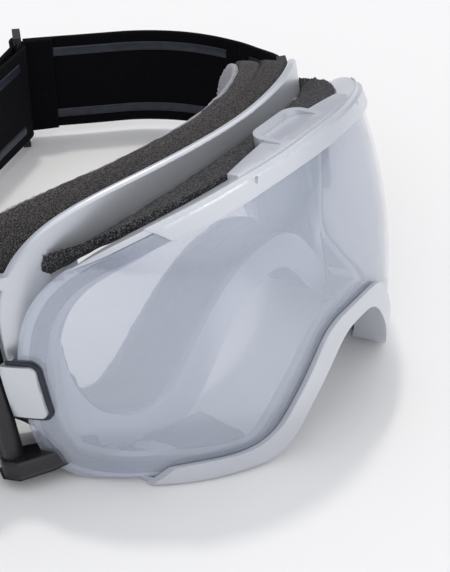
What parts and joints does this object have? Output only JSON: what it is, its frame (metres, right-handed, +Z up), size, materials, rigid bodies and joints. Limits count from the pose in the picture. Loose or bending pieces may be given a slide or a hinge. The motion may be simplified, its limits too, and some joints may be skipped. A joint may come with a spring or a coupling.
{
  "type": "ski goggles",
  "caption": "Frameless double-lens snow goggles with a rigid shell, layered face foam, hinged outriggers and a looped elastic strap with an adjuster.",
  "frame": {"origin": "bottom centre of the whole object as it lies on a table, strap included", "axes": "-Y the way the lens faces, +X the wearer's left, +Z up from the table"},
  "size_m": [0.2454, 0.2336, 0.1061],
  "materials": {
    "silver_shell": "satin silver paint on moulded plastic",
    "mirror_lens": "flash mirror coated polycarbonate",
    "inner_lens": "clear anti-fog",
    "gasket_foam": "closed-cell foam",
    "seal_rubber": "matte",
    "dense_foam": "open-cell foam",
    "soft_foam": "open-cell foam",
    "vent_foam": "coarse open-cell foam",
    "fleece": "brushed fleece",
    "black_plastic": "fine moulded grain",
    "pin_steel": "turned",
    "webbing": "woven elastic",
    "silicone": "glossy silicone"
  },
  "bodies": {
    "root": {"brow_band": "silver_shell", "clip_pad_left": "seal_rubber", "clip_pad_right": "seal_rubber", "face_flange": "silver_shell", "face_fleece": "fleece", "face_foam_base": "dense_foam", "face_foam_comfort": "soft_foam", "front_frame": "silver_shell", "grip_lines_left": "silicone", "grip_lines_right": "silicone", "hinge_lugs_left": "silver_shell", "hinge_lugs_right": "silver_shell", "hinge_pin_left": "pin_steel", "hinge_pin_right": "pin_steel", "inner_lens": "inner_lens", "lens_clip_left": "silver_shell", "lens_clip_right": "silver_shell", "lens_gasket": "gasket_foam", "nose_band": "silver_shell", "outer_lens": "mirror_lens", "strap_rear_left": "webbing", "strap_rear_right": "webbing", "strap_ring": "black_plastic", "strap_side_left": "webbing", "strap_side_right": "webbing", "strap_tail": "webbing", "vent_bridges": "silver_shell", "vent_foam_bottom_left": "vent_foam", "vent_foam_bottom_right": "vent_foam", "vent_foam_top": "vent_foam"},
    "outrigger_arm_left": {"outrigger_left": "black_plastic", "strap_loop_left": "webbing"},
    "outrigger_arm_right": {"outrigger_right": "black_plastic", "strap_loop_right": "webbing"},
    "slider": {"strap_slider": "black_plastic"}
  },
  "joints": [
    {"name": "outrigger_left_hinge", "type": "hinge", "parent": "root", "child": "outrigger_arm_left", "pos_m": [-0.11329, -0.03448, 0.04166], "axis": [0, 0.1908, 0.9816], "range_deg": [-12, 40], "deforming": ["strap_side_left"]},
    {"name": "outrigger_right_hinge", "type": "hinge", "parent": "root", "child": "outrigger_arm_right", "pos_m": [0.07171, -0.03448, 0.04166], "axis": [0, -0.1908, -0.9816], "range_deg": [-52, 3], "deforming": ["strap_side_right"]},
    {"name": "strap_adjuster_slide", "type": "slide", "parent": "root", "child": "slider", "axis": [-0.9659, -0.2588, 0], "range_m": [-0.025, 0.03], "deforming": ["strap_tail"]}
  ]
}
